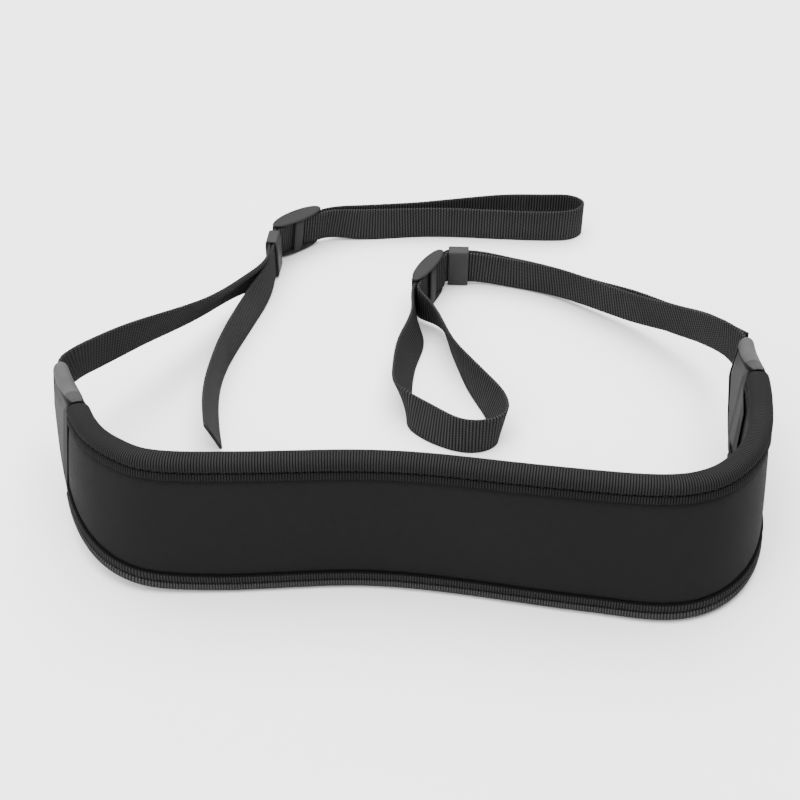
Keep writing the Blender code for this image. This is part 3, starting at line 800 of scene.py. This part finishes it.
def tape(name, sign, cloth):
    """Folded tape: the fold's curve on both sides, with ribs across it all along.

    Each rib is the root of a half sine. The ribs of the upper tape fade at both ends.
    """
    points, width, side, share = stations(pad_curve, pad_length / (tape_ribs * RIB_POINTS))
    fold = np.array(FOLD)
    knots = distances(fold)
    spread = [(0.0, 0.0072, 10), (0.0072, 0.0099, 11), (0.0099, knots[-1], 7)]
    at = np.unique(np.concatenate([np.linspace(*part) for part in spread]))
    half = smooth_values(knots, fold, at)
    out = np.concatenate([-half[::-1, 0], half[1:, 0]])
    down = np.concatenate([half[::-1, 1], half[1:, 1]])
    around = np.concatenate([-at[::-1], at[1:]])
    normal_out, normal_up = np.gradient(down, around), np.gradient(out, around)
    size = np.hypot(normal_out, normal_up)
    normal_out, normal_up = normal_out / size, normal_up / size
    phase = np.arange(len(points)) / RIB_POINTS
    rib = np.sqrt(np.abs(np.sin(np.pi * phase)))
    distance = np.abs(around)
    press = 1.0 - 0.70 * bell(distance, SEWN_FROM_CREST, 0.0007)
    end = np.minimum(share, 1.0 - share) * pad_length
    deep = RIB_LIFT * (rib[:, None] - 0.7) * press[None, :]
    if sign > 0.0:
        deep *= ease(end, 0.004, 0.050)[:, None]
    gather = SLOW_LIFT * ripple(share * pad_length, 5, TAPE_WAVES)[:, None]
    gather = gather * ease(distance, 0.004, 0.011)[None, :]
    tuck = 0.0008 * (1.0 - rounding(end, 0.0013))
    lift = deep + gather - tuck[:, None]
    top = pad_height_at(share)[:, None] / 2.0
    up = (top - down[None, :] + lift * normal_up[None, :]) * sign
    wide = out[None, :] + lift * normal_out[None, :]
    grid = swept(points, width, side, wide, up)
    grid[..., 2] = np.maximum(grid[..., 2], 0.0)
    obj = grid_object(name, grid, phase * TAPE_RIB, around, cloth, closed=False, caps=False)
    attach(obj, "root")
    return obj


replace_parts(tape("tape_upper", 1.0, upper_cloth), "binding_upper")
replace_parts(tape("tape_lower", -1.0, lower_cloth_painted_light), "binding_lower")


def stitch_row(name, sign, face):
    """Row of stitches along the groove: each is a short bowed capsule, sunk at both ends.

    Its bow is 1 minus the fourth power of the place along it.
    """
    points, width, side, share = stations(pad_curve, FINE_STEP)
    count = int(pad_length * 0.985 / STITCH_PITCH)
    centre = (np.arange(count) + 0.5) / count * 0.985 + 0.0075
    t = np.linspace(-1.0, 1.0, 9)
    at = centre[:, None] + t[None, :] * 0.44 * STITCH_PITCH / pad_length
    p = read_at(at, share, points)
    w, s = unit(read_at(at, share, width)), unit(read_at(at, share, side))
    top = np.interp(at, share, pad_height_at(share) / 2.0)
    jitter = np.random.default_rng(11).normal(0.0, STITCH_SPREAD, count)[:, None]
    level = (top - STITCH_DROP + jitter) * sign
    bow = (STITCH_OUT + STITCH_BOW * (1.0 - t ** 4)) * face
    core = p + s * bow[None, :, None] + w * level[..., None]
    ring = np.linspace(0.0, 2.0 * np.pi, STITCH_SIDES + 1)[:-1, None]
    radius = THREAD / 2.0 * np.sqrt(np.maximum(1.0 - t ** 6, 0.02))[None, :, None, None]
    around = s[:, :, None, :] * np.cos(ring) + w[:, :, None, :] * np.sin(ring)
    shell = core[:, :, None, :] + radius * around
    i, j = np.meshgrid(np.arange(len(t) - 1), np.arange(STITCH_SIDES), indexing="ij")
    k = (j + 1) % STITCH_SIDES
    here, beyond = i * STITCH_SIDES, (i + 1) * STITCH_SIDES
    one = np.stack([here + j, here + k, beyond + k, beyond + j], axis=-1).reshape(1, -1, 4)
    first = np.arange(count) * len(t) * STITCH_SIDES
    mesh = bpy.data.meshes.new(name)
    mesh.from_pydata(shell.reshape(-1, 3), [], (one + first[:, None, None]).reshape(-1, 4))
    mesh.shade_smooth()
    mesh.materials.append(seam_thread)
    obj = linked(name, mesh)
    face_out(obj)
    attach(obj, "root")


for level_name, sign in (("upper", 1.0), ("lower", -1.0)):
    for face_name, face in (("outer", 1.0), ("inner", -1.0)):
        stitch_row("stitches_%s_%s" % (level_name, face_name), sign, face)


# End tabs
tab_curves = {name: standing_curve(rows) for name, rows in TAB_PATHS.items()}


def between(at_pad, at_web, fade):
    """From the value at the pad to the value at the webbing by a fade from 0 to 1."""
    return at_pad + fade * (at_web - at_pad)


def tab(side_name):
    """Moulded tab: a rounded slab whose faces drop behind a rolled rim to a recessed panel.

    The rim rolls over by a quarter circle. The slab leaves the pad's end in the pad's own section
    plane, and on the inner side it laps over the pad's face.
    """
    flip = -1.0 if side_name == "left" else 1.0
    joint = 0 if side_name == "left" else -1
    curve = tab_curves[side_name]
    length = FINE_STEP * (len(curve) - 1)
    points, width, side, share = stations(curve, TAB_STEP)
    turned = ease(share, 0.0, 0.35)[:, None]
    side = unit(side * turned + (1.0 - turned) * flip * pad_side[joint])
    width = unit(width * turned + (1.0 - turned) * pad_width[joint])
    fade_table = np.array(TAB_FADE)
    fade = smooth_values(fade_table[:, 0], fade_table[:, 1:], share)[:, 0]
    start, stop = share * length, (1.0 - share) * length
    half_height = between(TAB_HEIGHT_AT_PAD, TAB_HEIGHT_AT_WEB, fade) / 2.0
    half_height = half_height - TAB_CORNER * (1.0 - rounding(stop, TAB_CORNER))
    half = between(TAB_THICKNESS_AT_PAD, TAB_THICKNESS_AT_WEB, fade) / 2.0
    half = half * (0.80 + 0.20 * rounding(start, TAB_START_ROUND))
    half = half * (0.50 + 0.50 * rounding(stop, TAB_STOP_ROUND))
    turn = np.linspace(0.0, 2.0 * np.pi, TAB_SECTION, endpoint=False)
    c = np.cos(turn)
    up = half_height[:, None] * signed_power(np.sin(turn), TAB_POWER)[None, :]
    depth = half_height[:, None] - np.abs(up)
    rim = between(TAB_RIM_AT_PAD, TAB_RIM_AT_WEB, share)[:, None]
    inward = np.minimum(depth - rim, np.minimum(start - 0.0014, stop - 0.0042)[:, None])
    panel = ease(inward, -0.0006, 0.0006)
    crown = PANEL_CROWN * ease(inward, 0.0, 0.006)
    groove = PANEL_GROOVE * bell(inward, -0.0001, 0.0004)
    lip = TAB_LIP * bell(inward, -0.0020, 0.0012)
    rolled = rounding(depth, TAB_EDGE_ROUND)
    out = half[:, None] * rolled - PANEL_RECESS * panel + crown * panel - groove + lip
    out = np.maximum(out, 0.0)
    inner = (c * flip > 0.0)[None, :]
    lap = ease(depth, 0.0100, 0.0125) * (1.0 - ease(start, 0.0, 0.0045))[:, None] * inner
    out = (out * (1.0 - lap) + TAB_LAP_OUT * lap) * np.sign(c + 1e-12)[None, :]
    grid = swept(points, width, side, out, up)
    back = TAB_LAP * lap / FINE_STEP
    spot = back if side_name == "left" else len(pad_curve) - 1 - back
    knots = np.arange(len(pad_curve))
    over = read_at(spot, knots, pad_points) + read_at(spot, knots, pad_width) * up[..., None]
    over = over + read_at(spot, knots, pad_side) * (flip * out)[..., None]
    grid = grid * (1.0 - lap[..., None]) + over * lap[..., None]
    line = np.concatenate([inward, inward[:, :1]], axis=1)
    obj = face_out(grid_object("tab_" + side_name, grid, start, line, tab_vinyl))
    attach(obj, "root")
    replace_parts(obj, "end_tab_" + side_name)


for side_name in ("left", "right"):
    tab(side_name)


# Webbing
def held_frame(spot):
    """Centre, axis, side and width of a keeper or slider."""
    across, back, heading, lean, height = spot
    centre = np.array(place((across, back, height, lean))[:3])
    angle, tilt = math.radians(heading), math.radians(lean)
    axis = np.array([math.cos(angle), math.sin(angle), 0.0])
    left = np.array([-math.sin(angle), math.cos(angle), 0.0])
    width = math.cos(tilt) * UPWARDS + math.sin(tilt) * left
    return centre, axis, np.cross(width, axis), width


def lane(spot, length, offset, weave=0.0, reverse=False):
    """Path of one webbing layer through a keeper or slider, as a cosine wave of one period."""
    centre, axis, side, _ = held_frame(spot)
    along = np.linspace(-length / 2.0, length / 2.0, LANE_POINTS)
    wave = weave * np.cos(2.0 * np.pi * along / length)
    points = centre + along[:, None] * axis + (offset + wave)[:, None] * side
    rows = np.hstack([points, np.full((len(along), 1), spot[3])])
    return rows[::-1] * np.array([1.0, 1.0, 1.0, -1.0]) if reverse else rows


def through(rows):
    """First, middle and last row of a lane."""
    return [rows[0], rows[LANE_POINTS // 2], rows[-1]]


def softened(rows, reach=5, spread=2.2):
    """Rows smoothed by a bell curve over their neighbours, with mirrored ends."""
    weights = np.exp(-0.5 * (np.arange(-reach, reach + 1) / spread) ** 2)
    weights /= weights.sum()
    before = 2 * rows[0] - rows[reach:0:-1]
    after = 2 * rows[-1] - rows[-2:-reach - 2:-1]
    padded = np.vstack([before, rows, after])
    return np.stack([np.convolve(column, weights, mode="valid") for column in padded.T], axis=1)


def band_curve(side_name):
    """Whole webbing band: run, keeper, slider, loop, slider, keeper, tail."""
    keeper_at, slider_at = KEEPERS[side_name], SLIDERS[side_name]
    weave = SLIDER_WEAVE if side_name == "left" else -SLIDER_WEAVE
    keeper_length = KEEPER_LENGTH + KEEPER_LEAD
    keep_out = lane(keeper_at, keeper_length, LANE_OFFSET)
    keep_back = lane(keeper_at, keeper_length, -LANE_OFFSET, reverse=True)
    slide_out = lane(slider_at, SLIDER_LENGTH, LANE_OFFSET, weave)
    slide_back = lane(slider_at, SLIDER_LENGTH, -LANE_OFFSET, weave, reverse=True)
    tab_end = tab_curves[side_name]
    start = int(round((POCKET_DEPTH - SLOT_CLEARANCE) / FINE_STEP))
    run = [tab_end[-start - 1], tab_end[-start // 2], tab_end[-1]]
    run = run + [place(row) for row in RUN_PATHS[side_name]] + through(keep_out)
    loop = [slide_out[-3], slide_out[-1]] + [place(row) for row in LOOP_PATHS[side_name]]
    loop = loop + [slide_back[0], slide_back[2]]
    tail = through(keep_back) + [place(row) for row in TAIL_PATHS[side_name]]
    run, loop, tail = (even_curve(rows, FINE_STEP) for rows in (run, loop, tail))
    whole = np.vstack([run, slide_out[1:-3], loop, slide_back[3:-1], tail])
    return softened(resample(whole, FINE_STEP))


def webbing(side_name):
    """Flat woven band: a rounded strip swept along, with a rib at every weft.

    Each rib is the root of a half sine. The ribs of the left band are low near both ends.
    """
    left = side_name == "left"
    curve = band_curve(side_name)
    length = FINE_STEP * (len(curve) - 1)
    count = int(round(length / WEB_RIB))
    points, width, side, share = stations(curve, length / (count * RIB_POINTS))
    half_width, half = WEB_WIDTH / 2.0, WEB_THICKNESS / 2.0
    flat = np.linspace(-1.0, 1.0, 11)
    bend = np.linspace(0.0, np.pi, 6)[1:-1]
    sine, cosine, level, full = np.sin(bend), np.cos(bend), np.zeros(11), np.ones(11)
    round_off = half * 0.9
    straight = half_width - round_off
    curved = straight + round_off * sine
    up = np.concatenate([flat * straight, curved, -flat * straight, -curved])
    normal_out = np.concatenate([full, cosine, -full, -cosine])
    normal_up = np.concatenate([level, sine, level, -sine])
    out = half * normal_out
    phase = np.arange(len(points)) / RIB_POINTS
    rib = np.sqrt(np.abs(np.sin(np.pi * phase)))[:, None]
    lift = RIB_LIFT * (rib - 0.72)
    if left:
        end = np.minimum(share, 1.0 - share)[:, None] * length
        lift = lift * (0.25 + 0.75 * ease(end, 0.020, 0.110))
    selvedge = SLOW_LIFT * ripple(share * length, 21, WEB_WAVES)[:, None]
    rise = up[None, :] + lift * normal_up + selvedge * np.sign(up)[None, :]
    grid = swept(points, width, side, out[None, :] + lift * normal_out, rise)
    upper, lower = TIP_REACH[side_name]
    reach = (upper + lower) / 2.0 + (upper - lower) / 2.0 * (up / half_width)[None, :]
    fade = np.clip((share * length - length + 0.022) / 0.022, 0.0, 1.0)[:, None]
    grid = grid + travel_of(points)[-1] * (reach * fade)[..., None]
    grid[..., 2] = np.maximum(grid[..., 2], 0.0)
    edge = distances(np.stack([np.append(up, up[0]), np.append(out, out[0])], axis=1))
    cloth = woven(
        "webbing_cloth_" + side_name, WEB_RIB * 1000.0, WEB_YARN, cross=0.60, flat=0.16,
        dark=0.0115, light=0.058, length=count * WEB_RIB * 1000.0,
        calm=LEFT_BAND_CALM if left else None, dotted=left)
    obj = grid_object("webbing_band_" + side_name, grid, phase * WEB_RIB, edge, cloth)
    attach(obj, "root")
    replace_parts(obj, "webbing_" + side_name)


for side_name in ("left", "right"):
    webbing(side_name)


# Sliders and keepers
def superellipse(power, count):
    """Section points of unit size: cosine and sine of the turn to the power of two over power."""
    turn = np.linspace(0.0, 2.0 * np.pi, count, endpoint=False)
    return signed_power(np.cos(turn), 2.0 / power), signed_power(np.sin(turn), 2.0 / power)


def bar(name, points, width, side, half_out, half_up, power, count, centre_out=0.0, centre_up=0.0):
    """Straight bar with a superellipse section at every station."""
    c, s = superellipse(power, count)
    ones = np.ones((len(points), 1))
    out = (np.asarray(half_out)[..., None] * c + np.asarray(centre_out)[..., None]) * ones
    up = (np.asarray(half_up)[..., None] * s + np.asarray(centre_up)[..., None]) * ones
    width, side = np.broadcast_to(width, points.shape), np.broadcast_to(side, points.shape)
    grid = swept(points, width, side, out, up)
    around = np.linspace(0, 0.01, count + 1)
    return face_out(grid_object(name, grid, distances(points), around, slider_nylon))


def slider(side_name):
    """Three-bar slider: two crescent rails and three rounded bars, all superellipses in section.

    The depth of a rail falls from its middle with the square of the place along it.
    """
    centre, axis, side, width = held_frame(SLIDERS[side_name])
    side = side if side_name == "left" else -side
    half_length = SLIDER_LENGTH / 2.0
    inside = WEB_WIDTH / 2.0 + SLOT_CLEARANCE
    t = np.sin(np.linspace(-np.pi / 2.0, np.pi / 2.0, 65))
    ends = np.sqrt(np.clip(1.0 - np.abs(t) ** 9, 0.02, 1.0))
    outer = RAIL_TIP_OUT + (SLIDER_BOW - RAIL_TIP_OUT) * (1.0 - t ** 2)
    inner = -RAIL_TIP_IN - RAIL_BELLY * (1.0 - t ** 2)
    points = centre + (t * half_length)[:, None] * axis
    half_out, half_up = (outer - inner) / 2.0 * ends, SLIDER_RAIL / 2.0 * ends * 1.04
    pieces = []
    for sign in (1.0, -1.0):
        off = sign * (inside + SLIDER_RAIL / 2.0)
        pieces.append(bar("rail", points, width, side, half_out, half_up, RAIL_POWER, RAIL_SECTION,
                          (outer + inner) / 2.0, off * np.ones(len(t))))
    reach = np.linspace(-inside - BAR_BITE, inside + BAR_BITE, 9)
    end_at = half_length - END_BAR_INSET - SLIDER_END_BAR / 2.0
    bars = [
        (0.0, SLIDER_BAR_WIDTH, -MIDDLE_BAR_IN, MIDDLE_BAR_THICKNESS),
        (end_at, SLIDER_END_BAR, END_BAR_OUT, END_BAR_THICKNESS),
        (-end_at, SLIDER_END_BAR, END_BAR_OUT, END_BAR_THICKNESS),
    ]
    for middle, wide, off, thick in bars:
        line = centre + axis * middle + side * off + reach[:, None] * width
        pieces.append(bar("bar", line, axis, side, thick / 2.0, wide / 2.0, BAR_POWER, BAR_SECTION))
    obj = joined("slider_frame_" + side_name, pieces)
    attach(obj, "root")
    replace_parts(obj, "slider_" + side_name)


def keeper(side_name):
    """Keeper sleeve: a wall with rounded rims, turned round the two webbing layers.

    The loops are superellipses, squarer on the inside of the wall than on the outside.
    """
    centre, axis, side, width = held_frame(KEEPERS[side_name])
    inner_up = WEB_WIDTH / 2.0 + SLOT_CLEARANCE
    inner_out = WEB_THICKNESS + LANE_GAP / 2.0 + SLOT_CLEARANCE
    wall = KEEPER_WALL
    half = KEEPER_LENGTH / 2.0
    turn = np.linspace(0.0, np.pi, 9)
    ends = half - wall * 0.35 + wall * 0.35 * np.sin(turn)
    grows = wall / 2.0 - wall / 2.0 * np.cos(turn)
    stretch = np.linspace(0.8, -0.8, 7)
    profile = list(zip(ends, grows)) + [(half * x, wall) for x in stretch]
    profile += list(zip(-ends[::-1], grows[::-1])) + [(half * x, 0.0) for x in -stretch]
    rings = []
    for along, grow in profile:
        power = KEEPER_POWER_IN if grow < wall / 2.0 else KEEPER_POWER_OUT
        c, s = superellipse(power, KEEPER_SECTION)
        out, up = (inner_out + grow) * c, (inner_up + grow) * s
        rings.append(centre + axis * along + out[:, None] * side + up[:, None] * width)
    grid = np.array(rings + [rings[0]])
    obj = grid_object("keeper_sleeve_" + side_name, grid, np.linspace(0, 0.03, len(grid)),
                      np.linspace(0.0, 0.045, KEEPER_SECTION + 1), keeper_nylon, caps=False)
    face_out(obj)
    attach(obj, "root")
    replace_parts(obj, "keeper_" + side_name)


for side_name in ("left", "right"):
    slider(side_name)
    keeper(side_name)

# Floor, lights and camera
FLOOR_HALF = 6.0
LIGHTS = [
    ("top", (0.0, 0.15, 1.5), (1.7, 1.7), 95.0),
    ("key", (-0.9, -0.9, 1.1), (0.9, 0.9), 18.0),
    ("back", (0.3, 1.3, 0.9), (1.2, 0.6), 8.0),
]
SKY_STRENGTH = 0.7
SENSOR_WIDTH = 36.0
FOCAL_PIXELS = 1450.0
PHOTO_PIXELS = 800.0
LOOK_DOWN = 42.0
CAMERA_BACK = -0.3801
CAMERA_HEIGHT = 0.4446

corners = ((-1.0, -1.0), (1.0, -1.0), (1.0, 1.0), (-1.0, 1.0))
floor_mesh = bpy.data.meshes.new("floor")
corners = [(x * FLOOR_HALF, y * FLOOR_HALF, 0.0) for x, y in corners]
floor_mesh.from_pydata(corners, [], [(0, 1, 2, 3)])
floor = linked("floor", floor_mesh)
floor_paint = Paint("floor_paper", (0.92, 0.92, 0.92), 0.9, 0.1)
floor_paint.bump([(floor_paint.noise(0.02, 2.0), 0.0001)])
floor_mesh.materials.append(floor_paint.material)

world = bpy.data.worlds.new("studio")
bpy.context.scene.world = world
world.use_nodes = True
world.node_tree.nodes["Background"].inputs[0].default_value = (1.0, 1.0, 1.0, 1.0)
world.node_tree.nodes["Background"].inputs[1].default_value = SKY_STRENGTH

for light_name, light_place, light_size, power in LIGHTS:
    light_data = bpy.data.lights.new(light_name, "AREA")
    light_data.shape = "RECTANGLE"
    light_data.size, light_data.size_y = light_size
    light_data.energy = power
    light = linked(light_name, light_data)
    light.location = light_place
    to_origin = Vector((0.0, 0.0, 0.0)) - Vector(light_place)
    light.rotation_euler = to_origin.to_track_quat("-Z", "Y").to_euler()

camera_data = bpy.data.cameras.new("camera")
camera_data.sensor_width = SENSOR_WIDTH
camera_data.lens = SENSOR_WIDTH * FOCAL_PIXELS / PHOTO_PIXELS
camera_data.clip_start = 0.01
camera_data.clip_end = 50.0
camera = linked("camera", camera_data)
camera.location = (-MIDDLE[0], CAMERA_BACK - MIDDLE[1], CAMERA_HEIGHT)
camera.rotation_euler = (math.radians(90.0 - LOOK_DOWN), 0.0, 0.0)
bpy.context.scene.camera = camera
